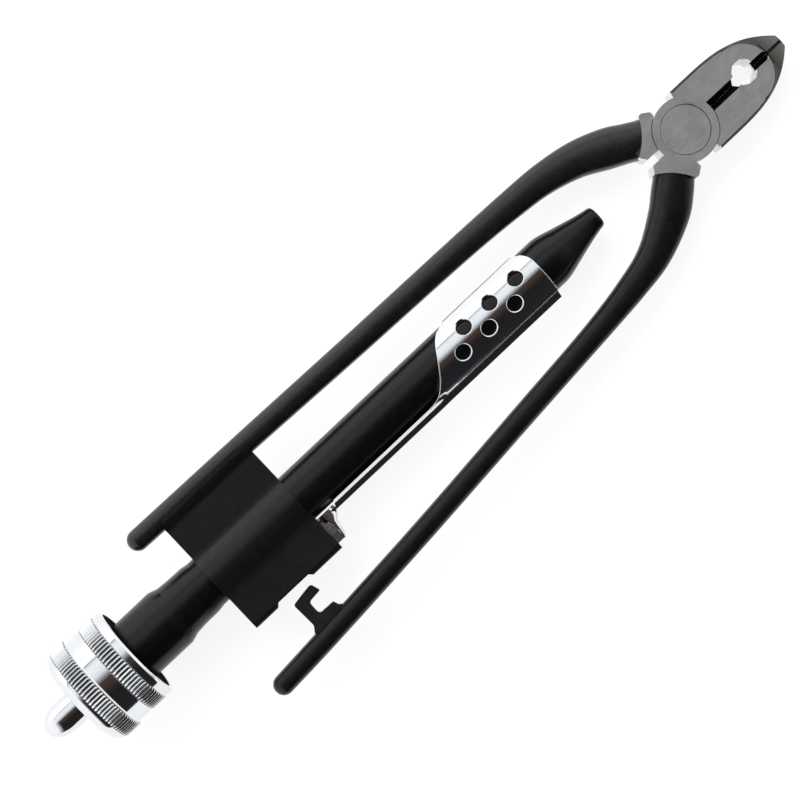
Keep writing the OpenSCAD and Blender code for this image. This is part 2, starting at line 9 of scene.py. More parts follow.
import bmesh
import bpy
from mathutils import Matrix, Vector


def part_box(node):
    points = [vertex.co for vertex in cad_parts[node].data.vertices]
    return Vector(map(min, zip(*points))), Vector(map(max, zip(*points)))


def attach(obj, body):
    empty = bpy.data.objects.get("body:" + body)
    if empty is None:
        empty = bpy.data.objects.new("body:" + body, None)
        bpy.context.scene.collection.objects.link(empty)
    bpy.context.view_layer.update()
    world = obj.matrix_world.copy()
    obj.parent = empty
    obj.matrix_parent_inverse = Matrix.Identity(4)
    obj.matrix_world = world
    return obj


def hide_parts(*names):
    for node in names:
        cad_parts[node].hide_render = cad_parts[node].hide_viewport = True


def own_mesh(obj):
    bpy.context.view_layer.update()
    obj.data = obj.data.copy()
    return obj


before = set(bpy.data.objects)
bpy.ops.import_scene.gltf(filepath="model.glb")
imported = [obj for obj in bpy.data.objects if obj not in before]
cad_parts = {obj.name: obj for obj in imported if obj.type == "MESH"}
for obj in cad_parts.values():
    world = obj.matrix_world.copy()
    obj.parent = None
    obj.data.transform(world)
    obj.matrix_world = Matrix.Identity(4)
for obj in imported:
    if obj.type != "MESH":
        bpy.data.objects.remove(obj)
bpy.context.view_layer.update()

MM = 0.001


def middle(cad_node):
    """Middle of a CAD node, in the frame."""
    low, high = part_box(cad_node)
    return (low + high) / 2


PIVOT = middle("pivot_rivet")


def ends(cad_node, axis=0):
    """Lowest and highest coordinate of a CAD node along an axis, in mm from the rivet's middle."""
    low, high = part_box(cad_node)
    return (low[axis] - PIVOT[axis]) / MM, (high[axis] - PIVOT[axis]) / MM


# sizes read from the frame, in mm
HALF_T = ends("pivot_rivet", 2)[1]
RIVET_R = ends("pivot_rivet", 1)[1]
JAW_TIP = ends("front_half")[1]
TUBE_Y = (middle("barrel_tube").y - PIVOT.y) / MM
TUBE_X = ends("barrel_tube")
COLLAR_R = ends("barrel_tube", 2)[1]
BRACKET_X = ends("bracket")
BRACKET_Y = ends("bracket", 1)
BRACKET_R = ends("bracket", 2)[1]
SLIDE_X = ends("thumb_slide")
SLIDE_R = ends("thumb_slide", 2)[1]
KNOB_X = ends("knob_shell")
KNOB_R = ends("knob_shell", 2)[1]
DOME_X = ends("dome_nut")
HOOK_Z = ends("latch_hook", 2)

# sizes of the shapes that follow, in mm
SLIP = 0.05  # from the middle plane to each lap's face
PART = 0.002  # from the parting plane to each jaw
LAP_R = 8.05
LAP_GAP = 0.16
TUBE_R = 6.5
SHEET = 0.9  # thickness of the bracket's sheet
SLIDE_T = 0.8  # thickness of the slide's sheet
HEAD_HALF = 9.1  # half width of the head at its widest
LEAD = 25  # length of the spiral in one turn
THROUGH = (-20, 20)  # heights of a tool that cuts right through


# ---- solids, in mm ----

def solid(verts, faces):
    """A closed mesh object with its normals outward."""
    mesh = bpy.data.meshes.new("solid")
    mesh.from_pydata([tuple(v) for v in verts], [], [tuple(f) for f in faces])
    bm = bmesh.new()
    bm.from_mesh(mesh)
    bmesh.ops.remove_doubles(bm, verts=bm.verts, dist=1e-5)
    bmesh.ops.recalc_face_normals(bm, faces=bm.faces)
    bm.to_mesh(mesh)
    bm.free()
    obj = bpy.data.objects.new("solid", mesh)
    bpy.context.scene.collection.objects.link(obj)
    return obj


def bake(obj):
    """Applies an object's modifiers."""
    graph = bpy.context.evaluated_depsgraph_get()
    obj.data = bpy.data.meshes.new_from_object(obj.evaluated_get(graph))
    obj.modifiers.clear()
    return obj


def combine(target, tool, operation):
    """Cuts, adds or intersects tool, which is used up."""
    step = target.modifiers.new("combine", "BOOLEAN")
    step.operation = operation
    step.solver = "EXACT"
    step.object = tool
    bake(target)
    bpy.data.objects.remove(tool)
    return target


def cut(target, tool):
    return combine(target, tool, "DIFFERENCE")


def add(target, tool):
    return combine(target, tool, "UNION")


def keep(target, tool):
    return combine(target, tool, "INTERSECT")


def soften(obj, width, angle=30, segments=2):
    """Rounds an object's sharp edges."""
    bm = bmesh.new()
    bm.from_mesh(obj.data)
    bmesh.ops.dissolve_degenerate(bm, dist=1e-4, edges=bm.edges)
    bmesh.ops.remove_doubles(bm, verts=bm.verts, dist=1e-4)
    bm.to_mesh(obj.data)
    bm.free()
    step = obj.modifiers.new("soften", "BEVEL")
    step.width = width
    step.segments = segments
    step.limit_method = "ANGLE"
    step.angle_limit = math.radians(angle)
    step.miter_outer = "MITER_ARC"
    return bake(obj)


def rounded(points, radius, steps=5, closed=True):
    """An outline with each corner rounded; radius is one number or one for each point."""
    out = []
    n = len(points)
    for i, point in enumerate(points):
        corner = Vector(point)
        r = radius[i] if isinstance(radius, (list, tuple)) else radius
        if r == 0 or (not closed and i in (0, n - 1)):
            out.append(corner)
            continue
        before = Vector(points[i - 1]) - corner
        after = Vector(points[(i + 1) % n]) - corner
        half = before.angle(after) / 2
        reach = min(r / math.tan(half), 0.48 * before.length, 0.48 * after.length)
        start = corner + before.normalized() * reach
        end = corner + after.normalized() * reach
        for k in range(steps + 1):
            t = k / steps
            out.append(start * (1 - t) ** 2 + corner * 2 * t * (1 - t) + end * t * t)
    return out


def along_z(x, y, h):
    return x, y, h


def along_x(y, z, h):
    return h, y, z


def prism(outline, h0, h1, turn=along_z):
    """An outline extruded from h0 to h1."""
    n = len(outline)
    verts = [turn(a, b, h) for h in (h0, h1) for a, b in outline]
    sides = [(i, (i + 1) % n, n + (i + 1) % n, n + i) for i in range(n)]
    return solid(verts, [range(n - 1, -1, -1), range(n, 2 * n)] + sides)


def disc(x, y, r, h0, h1, steps=160):
    """A round bar along Z."""
    turn = [2 * math.pi * i / steps for i in range(steps)]
    return prism([(x + r * math.cos(a), y + r * math.sin(a)) for a in turn], h0, h1)


def skin(rings, capped=True):
    """Skins rings of equal length; capped closes the first and the last with a face."""
    n = len(rings[0])
    verts = [p for ring in rings for p in ring]
    faces = [(i * n + j, i * n + (j + 1) % n, (i + 1) * n + (j + 1) % n, (i + 1) * n + j)
             for i in range(len(rings) - 1) for j in range(n)]
    if capped:
        last = (len(rings) - 1) * n
        faces += [range(n - 1, -1, -1), range(last, last + n)]
    return solid(verts, faces)


def lathe(profile, columns=128, hollow=False, wave=None):
    """Turns (x, radius) points about the tube's axis. hollow closes the profile on itself.

    wave(column, radius) may change a point's radius, as for a knurl.
    """
    rows = profile + [profile[0]] if hollow else profile
    rings = []
    for x, r in rows:
        ring = []
        for j in range(columns):
            angle = 2 * math.pi * j / columns
            q = wave(j, r) if wave else r
            ring.append((x, TUBE_Y + q * math.cos(angle), q * math.sin(angle)))
        rings.append(ring)
    return skin(rings, capped=False)


def spline(p0, p1, p2, p3, t):
    """The point at share t between p1 and p2 of a smooth line through four points."""
    return 0.5 * (2 * p1 + (p2 - p0) * t + (2 * p0 - 5 * p1 + 4 * p2 - p3) * t * t
                  + (3 * p1 - p0 - 3 * p2 + p3) * t ** 3)


def curve_through(points, steps=6):
    """A smooth line through points, with the given steps between each two."""
    p = [Vector(q) for q in points]
    last = len(p) - 1
    return [spline(p[max(i - 1, 0)], p[i], p[i + 1], p[min(i + 2, last)], k / steps)
            for i in range(last) for k in range(steps)] + [p[last]]


def arc(cx, cy, r, a0, a1, steps):
    """Points on an arc between two angles in degrees."""
    angles = [math.radians(a0 + (a1 - a0) * i / steps) for i in range(steps + 1)]
    return [(cx + r * math.cos(a), cy + r * math.sin(a)) for a in angles]


# ---- placing ----

def place(obj, name, body, cad_node, slot, materials, sharp=30, paint=None, flat=False):
    """Moves a solid from mm to its place in the frame and hands it to its body.

    paint(centre, normal) picks a face's material; flat keeps large flat faces evenly shaded.
    """
    obj.name = obj.data.name = name
    mesh = obj.data
    mesh.materials.clear()
    for mat in materials:
        mesh.materials.append(mat)
    for face in mesh.polygons:
        face.material_index = paint(face.center, face.normal) if paint else 0
    mesh.transform(Matrix.Translation(PIVOT) @ Matrix.Scale(MM, 4))
    mesh.shade_smooth()
    mesh.set_sharp_from_angle(angle=math.radians(sharp))
    if flat:
        step = obj.modifiers.new("flat", "WEIGHTED_NORMAL")
        step.mode = "FACE_AREA_WITH_ANGLE"
        step.keep_sharp = True
    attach(obj, body)
    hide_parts(cad_node)
    return obj


# ---- materials ----

def new_material(name, metallic, roughness, specular=0.5):
    mat = bpy.data.materials.new(name)
    mat.use_nodes = True
    shader = mat.node_tree.nodes["Principled BSDF"]
    shader.inputs["Metallic"].default_value = metallic
    shader.inputs["Roughness"].default_value = roughness
    shader.inputs["Specular IOR Level"].default_value = specular
    return mat, shader


def node(mat, kind, **values):
    """A new shader node; each value sets a property, or else the input of that name."""
    made = mat.node_tree.nodes.new(kind)
    for key, value in values.items():
        if hasattr(made, key):
            setattr(made, key, value)
        else:
            made.inputs[key.replace("_", " ")].default_value = value
    return made


def grain(mat, stretch, detail=4.0, roughness=0.6):
    """Noise in the frame's own coordinates, stretched by a scale along each axis (per metre)."""
    links = mat.node_tree.links
    coords = node(mat, "ShaderNodeTexCoord")
    scale = node(mat, "ShaderNodeMapping", Scale=stretch)
    noise = node(mat, "ShaderNodeTexNoise", Scale=1.0, Detail=detail, Roughness=roughness)
    links.new(coords.outputs["Object"], scale.inputs["Vector"])
    links.new(scale.outputs["Vector"], noise.inputs["Vector"])
    return noise.outputs["Fac"]


def ramp(mat, source, stops):
    """Colours along a share from 0 to 1, as (share, colour) stops."""
    made = node(mat, "ShaderNodeValToRGB")
    elements = made.color_ramp.elements
    while len(elements) < len(stops):
        elements.new(0.5)
    for element, (at, color) in zip(elements, stops):
        element.position = at
        element.color = (*color, 1.0)
    mat.node_tree.links.new(source, made.inputs["Fac"])
    return made.outputs["Color"]


def spread(mat, source, low, high, start=0.3, stop=0.7):
    """Maps a range of values, by default that of a noise, to another one."""
    made = node(mat, "ShaderNodeMapRange", From_Min=start, From_Max=stop, To_Min=low, To_Max=high)
    mat.node_tree.links.new(source, made.inputs["Value"])
    return made.outputs["Result"]


def bump(mat, shader, source, distance):
    """Relief of the given height, in metres."""
    made = node(mat, "ShaderNodeBump", Strength=1.0, Distance=distance)
    mat.node_tree.links.new(source, made.inputs["Height"])
    mat.node_tree.links.new(made.outputs["Normal"], shader.inputs["Normal"])


def metal(name, dark, light, rough, stretch, height, detail=5.0, metallic=1.0, specular=0.5):
    """A finish whose colour, roughness and relief all follow one grain."""
    mat, shader = new_material(name, metallic, rough[0], specular)
    links = mat.node_tree.links
    fine = grain(mat, stretch, detail)
    broad = grain(mat, (180, 180, 180), 3.0)
    links.new(ramp(mat, fine, [(0.3, dark), (0.7, light)]), shader.inputs["Base Color"])
    links.new(spread(mat, broad, *rough), shader.inputs["Roughness"])
    bump(mat, shader, fine, height)
    return mat


TIP_LIGHTENS_X = 23  # where the oxide starts to turn lighter towards the tip, in mm


def blackened(name):
    """Black oxide on the bevels, lighter and more olive grey towards the tip."""
    mat, shader = new_material(name, 0.85, 0.4)
    links = mat.node_tree.links
    coords = node(mat, "ShaderNodeTexCoord")
    axes = node(mat, "ShaderNodeSeparateXYZ")
    links.new(coords.outputs["Object"], axes.inputs["Vector"])
    tip = spread(mat, axes.outputs["X"], 0.0, 1.0, PIVOT.x + TIP_LIGHTENS_X * MM, PIVOT.x + JAW_TIP * MM)
    fine = grain(mat, (900, 900, 900), 5.0)
    mix = node(mat, "ShaderNodeMath", operation="MULTIPLY_ADD")
    links.new(fine, mix.inputs[0])
    mix.inputs[1].default_value = 0.25
    links.new(tip, mix.inputs[2])
    color = ramp(mat, mix.outputs["Value"], [(0.1, (0.03, 0.031, 0.033)),
                                             (0.5, (0.05, 0.05, 0.047)),
                                             (1.0, (0.13, 0.13, 0.12))])
    links.new(color, shader.inputs["Base Color"])
    links.new(spread(mat, fine, 0.32, 0.48), shader.inputs["Roughness"])
    bump(mat, shader, fine, 0.00002)
    return mat


MATERIALS = {
    "ground": metal("ground_steel", (0.49, 0.48, 0.465), (0.62, 0.608, 0.59), (0.38, 0.5),
                    (500, 3000, 3000), 0.000012),
    "worn": metal("worn_edge", (0.3, 0.3, 0.3), (0.6, 0.6, 0.6), (0.25, 0.4),
                  (900, 900, 900), 0.00001),
    "bright": metal("milled_steel", (0.62, 0.62, 0.62), (0.8, 0.8, 0.8), (0.2, 0.34),
                    (1500, 1500, 300), 0.00001),
    "oxide": blackened("black_oxide"),
    # near-black painted shade for recesses, parting lines and the knob's inside
    "recess": metal("recess_painted_shade", (0.003, 0.003, 0.0035), (0.01, 0.01, 0.011), (0.5, 0.7),
                    (900, 900, 900), 0.00002, metallic=0.0, specular=0.15),
    # a darker, less glossy copy of the black coat for the front handle: painted shade
    "shaded_coat": metal("front_coat_painted_shade", (0.004, 0.004, 0.0045), (0.008, 0.008, 0.009), (0.24, 0.34),
                   (700, 700, 700), 0.00003, metallic=0.0, specular=0.28),
    "coat": metal("black_coat", (0.006, 0.006, 0.0065), (0.012, 0.012, 0.013), (0.2, 0.3),
                  (700, 700, 700), 0.00003, metallic=0.0, specular=0.5),
    "paint": metal("black_paint", (0.003, 0.003, 0.0033), (0.006, 0.006, 0.0065), (0.2, 0.28),
                   (500, 900, 900), 0.00002, metallic=0.0, specular=0.26),
    "satin": metal("satin_paint", (0.005, 0.005, 0.0055), (0.009, 0.009, 0.0095), (0.3, 0.38),
                   (500, 900, 900), 0.00002, metallic=0.0, specular=0.3),
    "chrome": metal("chrome_plate", (0.74, 0.755, 0.775), (0.78, 0.795, 0.815), (0.03, 0.07),
                    (220, 220, 220), 0.00002, detail=2.0),
    # darker chrome for the knurls' tooth roots: painted shade
    "groove_shade": metal("knurl_root_painted_shade", (0.16, 0.165, 0.17), (0.3, 0.31, 0.32), (0.2, 0.3),
                    (900, 900, 900), 0.00001),
    "turned": metal("turned_steel", (0.46, 0.47, 0.48), (0.6, 0.61, 0.63), (0.24, 0.36),
                    (5200, 260, 260), 0.00001),
    "spring": metal("spring_steel", (0.3, 0.31, 0.33), (0.46, 0.47, 0.49), (0.28, 0.4),
                    (800, 800, 800), 0.00001),
    "bronze": metal("bronze", (0.5, 0.32, 0.13), (0.68, 0.47, 0.22), (0.3, 0.42),
                    (4200, 240, 240), 0.00001),
}


# ---- head ----

CUTTER_X = (7.7, 17)
CUTTER_W = 1.42
SLOT_X = (22, 25.7)
SLOT_W = 1.15
GRIP_X = 19.5
GRIP_UPPER = [(-3.4, -0.2), (-3.3, 0.1), (-2.3, 2.4), (-0.9, 3.5), (1.2, 3.5), (2.7, 2.3),
              (3.3, 0.1), (3.4, -0.2)]
GRIP_LOWER = [(-3.4, -0.2), (-3.3, 0.1), (-2.2, 1.7), (-0.8, 2.5), (1.4, 2.5), (2.5, 1.6),
              (3.3, 0.1), (3.4, -0.2)]
ARC_X = 18.9
ARC_R = 7.5
NECK = [(-3.4, 7.1), (-3.3, 8.8), (-5.2, 10.1), (-6.4, 10), (-12.9, 2.9), (-11.6, 0.95),
        (-7.6, 0.95), (0, 4)]
NECK_CUT = (-20.6, 16.7, 16)
TEETH = 5
TOOTH_PITCH = 0.9
JAW_ROOT = 3.1
TAPER_X = 8
SHANK_HOLE_R = 4.05
RIVET_SEAT = 1.65


def jaw_ring(x):
    """Cross-section of one jaw at x: ground face, bevel, side, bevel, ground face, parting face."""
    side = HEAD_HALF * (1 - (max(0, x - TAPER_X) / 25.4) ** 3)
    flat = side - 0.65
    if x > ARC_X:
        flat = min(flat, math.sqrt(max(0, ARC_R ** 2 - (x - ARC_X) ** 2)))
    flat = max(0.4, flat)
    top = HALF_T - 0.42 * max(0, x - ARC_X - ARC_R)
    run = max(0, x - ARC_X + 1) / (JAW_TIP - ARC_X + 1)
    edge = min(HALF_T - 1 - 1.8 * run ** 1.5, top - 0.1)
    crown = (flat + side) / 2, (top + edge) / 2 + 0.12 * run
    half = [(PART, top), (flat, top), crown, (side, edge)]
    return [(x, y, z) for y, z in half] + [(x, y, -z) for y, z in reversed(half)]


def jaw_blank():
    steps = 83
    return skin([jaw_ring(JAW_ROOT + (JAW_TIP - JAW_ROOT) * i / steps)
                 for i in range(steps + 1)])


def recess(x0, x1, width):
    """Room over a cutting edge, open to one ground face."""
    return prism([(-1, 0.5), (PART, 0.5), (width, 1.9), (width, HALF_T + 1), (-1, HALF_T + 1)],
                 x0, x1, along_x)


def flipped(obj, axis):
    """Mirrors a solid across the plane square to an axis."""
    obj.data.transform(Matrix.Scale(-1, 4, axis))
    obj.data.flip_normals()
    return obj


def half_head(grip):
    """A jaw at +Y whose lap is the front one, with the neck plate of its handle at -Y."""
    head = jaw_blank()
    for side in (False, True):
        end = SLOT_X[1]
        point = [(end - 0.01, -1), (end - 0.01, SLOT_W), (end + 1.6, 0), (end + 1.6, -1)]
        for tool in (recess(*CUTTER_X, CUTTER_W), recess(*SLOT_X, SLOT_W),
                     prism(point, 0.5, HALF_T + 1)):
            cut(head, flipped(tool, (0, 0, 1)) if side else tool)
    cut(head, prism([(GRIP_X + x, y) for x, y in grip], *THROUGH))
    for i in range(1, TEETH + 1):
        x = JAW_TIP - 0.2 - i * TOOTH_PITCH
        cut(head, prism([(x - 0.3, -0.1), (x, 0.35), (x + 0.3, -0.1)], *THROUGH))
    plate = prism(rounded(NECK, [0.3, 0.6, 0.6, 0.3, 0.2, 0.5, 0, 0]), -HALF_T, HALF_T)
    cut(plate, disc(*NECK_CUT, *THROUGH))
    add(head, flipped(plate, (0, 1, 0)))
    cut(head, disc(0, 0, LAP_R + LAP_GAP, THROUGH[0], SLIP))
    add(head, disc(0, 0, LAP_R, SLIP, HALF_T))
    cut(head, disc(0, 0, SHANK_HOLE_R, *THROUGH))
    cut(head, disc(0, 0, RIVET_R + 0.1, HALF_T - RIVET_SEAT, THROUGH[1]))
    return head


def paint_head(centre, normal):
    """0 ground face, 1 bright wall, 2 black oxide, 3 near-black painted shade: on the parting
    faces, near the nose's parting line, and in the cutter recesses over their black finish.
    """
    x, y, z = centre.x, abs(centre.y), abs(centre.z)
    in_recess = CUTTER_X[0] - 0.1 < x < SLOT_X[1] + 1.7 and y < CUTTER_W + 0.1
    in_grip = abs(x - GRIP_X) < 3.6 and y < 3.7
    if abs(normal.z) > 0.98 and z > HALF_T - 0.06:
        return 0
    if in_grip and y > 0.1 and abs(normal.z) < 0.5:
        return 1
    # parting faces and the nose's parting line get painted shade; the cutter recesses get their
    # black finish darkened by painted shade
    if x > 3.3 and (in_recess or y < 0.1) or x > JAW_TIP - 6 and y < 0.4:
        return 3
    if x > 3.3 and y > 0.4 and abs(normal.x) < 0.999:
        return 2
    return 1


# ---- handles: x, y, thickness in the plane, thickness along the rivet ----

REAR_PATH = [(-7.9, 5.1, 9.6, 9), (-11.8, 7.3, 9.6, 9), (-16.5, 9.8, 10, 8.4),
             (-23.5, 12.8, 9, 7.4), (-32, 14.7, 7.9, 6.6), (-41, 15.5, 7.2, 6.2),
             (-58, 16.2, 6.5, 6.2), (-92, 16.8, 6.1, 6.2), (-126, 17.6, 5.7, 6.2),
             (-161, 18.2, 5.4, 6.2)]
FRONT_PATH = [(-7.9, -5.3, 9.6, 9), (-11.7, -8.6, 10.2, 9), (-16.4, -12.2, 9.9, 8.4),
              (-25, -16.5, 8.3, 7.2), (-34, -18.6, 7.1, 6.6), (-49, -20.6, 6, 6.2),
              (-75, -23.1, 5.6, 6.2), (-109, -26.4, 5.4, 6.2), (-142, -29.1, 5.4, 6.2),
              (-159.3, -30.3, 5.2, 6.2)]
SIDES = 40
STEPS = 10


def section(s, along, shrink=1.0):
    """A rounded section, square to the direction along."""
    ring = []
    for k in range(SIDES):
        a = 2 * math.pi * k / SIDES
        across, up = (math.copysign(abs(v) ** 0.8, v) * shrink / 2
                      for v in (math.cos(a), math.sin(a)))
        ring.append((s[0] - along.y * across * s[2], s[1] + along.x * across * s[2], up * s[3]))
    return ring


def handle(stations):
    """A bar through the stations with a round end."""
    path = curve_through(stations, STEPS)
    last = len(path) - 1
    rings = []
    for i, s in enumerate(path):
        step = path[min(i + 1, last)] - path[max(i - 1, 0)]
        along = Vector((step.x, step.y)).normalized()
        rings.append(section(s, along))
    for a in range(10, 90, 10):
        t = math.radians(a)
        s = path[last].copy()
        s.x += along.x * math.sin(t) * s[2] * 0.5
        s.y += along.y * math.sin(t) * s[2] * 0.5
        rings.append(section(s, along, math.cos(t)))
    return skin(rings)


def make_half(body, handle_path, grip, rear):
    """The ground head and the coated handle of one half."""
    head = soften(half_head(grip), 0.07)
    if rear:
        flipped(flipped(head, (0, 1, 0)), (0, 0, 1))
    node_name = body + "_half"
    place(head, body + "_head", body, node_name, "ground_steel",
          [MATERIALS[m] for m in ("ground", "bright", "oxide", "recess")], paint=paint_head,
          flat=True)
    # the front handle takes the darker copy of the coat, as painted shade
    place(handle(handle_path), body + "_handle", body, node_name, "black_finish",
          [MATERIALS["coat" if rear else "shaded_coat"]])


make_half("front", FRONT_PATH, GRIP_UPPER, False)
make_half("rear", REAR_PATH, GRIP_LOWER, True)


# ---- rivet and hook ----

def make_rivet():
    """A shank with a chamfered head flush with each ground face."""
    shank = 4
    columns = 128
    head_t = 1.6
    chamfer = 0.1
    r = RIVET_R - 0.02
    half = [(HALF_T - head_t, r), (HALF_T - chamfer, r), (HALF_T, r - chamfer)]
    profile = [(0, shank), (half[0][0], shank)] + half + [(HALF_T, 0)]
    profile = [(-x, r) for x, r in reversed(profile)] + profile[1:]
    turn = [2 * math.pi * j / columns for j in range(columns)]
    rings = [[(q * math.cos(a), q * math.sin(a), z) for a in turn] for z, q in profile]
    place(skin(rings, capped=False), "rivet", "rear", "pivot_rivet", "ground_steel",
          [MATERIALS["ground"]], flat=True)


HOOK = [(-144.6, -28.2), (-144.6, -27.2), (-145.8, -26.9), (-145.6, -26.3), (-144.6, -25),
        (-144.85, -18.3), (-141.5, -17.75), (-138.6, -17.35), (-137.8, -19.9), (-141.7, -20.3),
        (-141.75, -23.9), (-137.4, -24), (-136.9, -25.4), (-136.2, -25.9), (-136.2, -26.8),
        (-137, -27.2), (-137, -28.2)]
HOOK_ROUND = [0, 0, 0.1, 0.3, 1.5, 0.7, 0, 0.9, 0.3, 1, 1, 0.5, 0.6, 0.3, 0.1, 0, 0]


def make_hook():
    hook = soften(prism(rounded(HOOK, HOOK_ROUND), *HOOK_Z), 0.3, segments=3)
    place(hook, "hook", "front", "latch_hook", "black_finish", [MATERIALS["coat"]], flat=True)


make_rivet()
make_hook()


# ---- tube ----

NOSE = [(-44.8, 6.5), (-43.3, 6.3), (-41.4, 5.85), (-39.5, 5.3), (-37.3, 4.7), (-34.3, 3.9),
        (-31.6, 3.25), (-29.4, 2.85), (-28.8, 2.5)]


def make_tube():
    bore = 5.4
    nut_bore = 6.61
    outer = [(TUBE_X[0], COLLAR_R - 0.35), (TUBE_X[0] + 0.35, COLLAR_R), (-168, COLLAR_R),
             (-165.6, 7.1), (-163, 6.9), (-158.4, 6.8), (-156.6, TUBE_R)]
    outer = [tuple(p) for p in rounded(outer, 1.6, closed=False)]
    inner = [(-28.9, 1.6), (-31.6, 1.5), (-37.3, 3.6), (-44.8, 5.3), (-47, bore), (-174.4, bore),
             (-174.4, nut_bore), (TUBE_X[0] + 0.1, nut_bore), (TUBE_X[0], nut_bore + 0.1)]
    tip = [tuple(p) for p in rounded(NOSE[-2:] + [(-28.7, 1.8), inner[0]], 0.5, closed=False)]
    profile = outer + curve_through(NOSE[:-1])[:-1] + tip + inner[1:]
    place(lathe(profile, 160, hollow=True), "tube", "rear", "barrel_tube", "black_paint",
          [MATERIALS["paint"]])


make_tube()


# ---- bracket ----

SADDLE = [(16.8, 4.05), (15.7, 3.7), (14.9, 3.2), (14.1, 3.1)]
CHEEK_Z = 5
FOLD_R = 1.5


def bracket_half(inset, flare_y):
    """The +Z half of the sheet's outer face, or of its inner one, from the top down."""
    r = BRACKET_R - inset
    crease = math.asin(math.sqrt(1 - ((SADDLE[-1][1] - inset) / r) ** 2))
    flare = math.asin((flare_y - TUBE_Y) / r)
    bulge = [(TUBE_Y + r * math.sin(a), r * math.cos(a))
             for a in [crease + (flare - crease) * i / 48 for i in range(49)]]
    corner = FOLD_R - inset
    fold = arc(BRACKET_Y[0] + FOLD_R, CHEEK_Z - FOLD_R, corner, 90, 180, 8)
    web = [(BRACKET_Y[1], SADDLE[0][1])] + SADDLE
    web = rounded([(y, z - inset) for y, z in web], [0, 1, 2, 2, 1], closed=False)
    return web + bulge + [(-7.4, CHEEK_Z - inset)] + fold


def make_bracket():
    """Folded sheet over the handle and the tube, with round rear corners and a mouth below."""
    outer, inner = bracket_half(0, -5.6), bracket_half(SHEET, -5.2)
    outer += [(y, -z) for y, z in reversed(outer)]
    inner += [(y, -z) for y, z in reversed(inner)]
    sheet = prism(outer + inner[::-1], *BRACKET_X, along_x)
    corner = 3
    for i, x in enumerate(BRACKET_X):
        sign = 1 if i == 0 else -1
        top = BRACKET_Y[1]
        nick = [(x - sign, top + 1), (x - sign, top - corner), (x, top - corner)]
        nick += arc(x + sign * corner, top - corner, corner, 180 if i == 0 else 0, 90, 10)[1:]
        nick += [(x + sign * corner, top + 1)]
        cut(sheet, prism(nick, *THROUGH))
    y = BRACKET_Y[0]
    depth = 0.95
    mouth = [(-148.4, y - 1), (-147.8, y), (-146.9, y + depth), (-137.2, y + depth),
             (-136.3, y), (-135.7, y - 1)]
    cut(sheet, prism(mouth, *THROUGH))

    def paint(centre, normal):
        """0 painted, 1 worn, on the rims of the mouth and of the front edge."""
        at_mouth = -148.2 < centre.x < -136 and centre.y < y + depth
        at_front = centre.x > BRACKET_X[1] - 0.3 and 0.3 < normal.x < 0.99 and centre.y > 6
        return int(at_mouth and abs(normal.z) < 0.9 and normal.y > -0.9 or at_front)

    place(soften(sheet, 0.15), "bracket_sheet", "rear", "bracket", "black_paint",
          [MATERIALS["satin"], MATERIALS["worn"]], paint=paint, flat=True)


make_bracket()


# ---- thumb slide ----

SHIELD_EDGE = [(-90, -6.6), (-88.3, -6.5), (-86, -5.8), (-83.3, -3.3), (-80.5, 0.6),
               (-78.4, 3.5), (-76.6, 5.1), (-74.4, 6.1), (-72, 6.9), (-71.5, 8)]
SHIELD_CORNER = (4.6, 4.7)
STRIP_Y = (-6.6, -8)
LIP = 2.1
LIP_ANGLE = 46.5
SHIELD_TURN = math.radians(-42)
SHIELD_BEND = -6.9
SHIELD_X = (-84, -48.2)
STRIP_STEP = -121.6
STRIP_BEND = -7.6
STRIP_END = -88.5
RAIL_Y = -8.7
RAIL_SLOPE = 0.566
BACK_END = math.radians(-182)
HOLE_R = 1.95
HOLE_PITCH = 8.35
HOLES = ((-70.8, 20), (-74.9, -14.5))
EDGE_TOP = 5.6
LATCH_X = -136.6
LATCH_Y = (-14.9, -12)
RIB_HALF = 1.75
RIB = [(-7.3, -127.2, -121.8), (-9, -127.2, -121.8), (-9.6, -126.5, -122.3),
       (-10.4, -125.85, -123.1), (-11.5, -125.55, -123.45), (-13, -125.4, -123.75),
       (-14.2, -125.3, -124.1), (-14.9, -125.2, -124.6)]


def shield_height(y, r):
    """Height of the shield's face: round the tube, then straight down towards the bend."""
    edge = TUBE_Y + r * math.sin(SHIELD_TURN)
    if y < edge:
        return r * math.cos(SHIELD_TURN) + (y - edge) * math.tan(-SHIELD_TURN)
    return math.sqrt(r ** 2 - (y - TUBE_Y) ** 2)


def slide_section(x, bend, floor, straight):
    """Sheet round most of the tube that bends off it at two lines into a channel below.

    straight leaves the tube before the bend, as the shield does.
    """
    def about(r, a0, a1, steps):
        angles = [a0 + (a1 - a0) * i / steps for i in range(steps + 1)]
        return [(TUBE_Y + r * math.sin(a), r * math.cos(a)) for a in angles]

    def wall(r, bend, floor):
        turn = math.asin((bend - TUBE_Y) / r)
        lip = math.radians(LIP_ANGLE)
        front = about(r, lip, SHIELD_TURN, 90)
        drop = bend - front[-1][0]
        steps = 20
        if straight:
            low = [bend - drop * (1 - i / steps) for i in range(1, steps + 1)]
            front += [(y, shield_height(y, r)) for y in low]
        else:
            front += about(r, SHIELD_TURN, turn, steps)[1:]
        front.insert(0, (front[0][0] + LIP * math.cos(lip), front[0][1] - LIP * math.sin(lip)))
        back = about(r, -math.pi - turn, BACK_END, 75)
        z = front[-1][1] - (bend - floor) * RAIL_SLOPE
        fold = rounded([front[-1], (floor, z), (floor, -z), back[0]], [0, 0.5, 0.5, 0],
                       closed=False)
        return front + fold[1:-1] + back

    outer = wall(SLIDE_R, bend, floor)
    inner = wall(SLIDE_R - SLIDE_T, bend + 0.65, floor + SLIDE_T)
    half = SLIDE_T / 2
    tip = (outer[0][0] + inner[0][0]) / 2, (outer[0][1] + inner[0][1]) / 2
    lip = arc(*tip, half, -90 - LIP_ANGLE, 90 - LIP_ANGLE, 8)[1:-1]
    return [(x, y, z) for y, z in outer + inner[::-1] + lip]


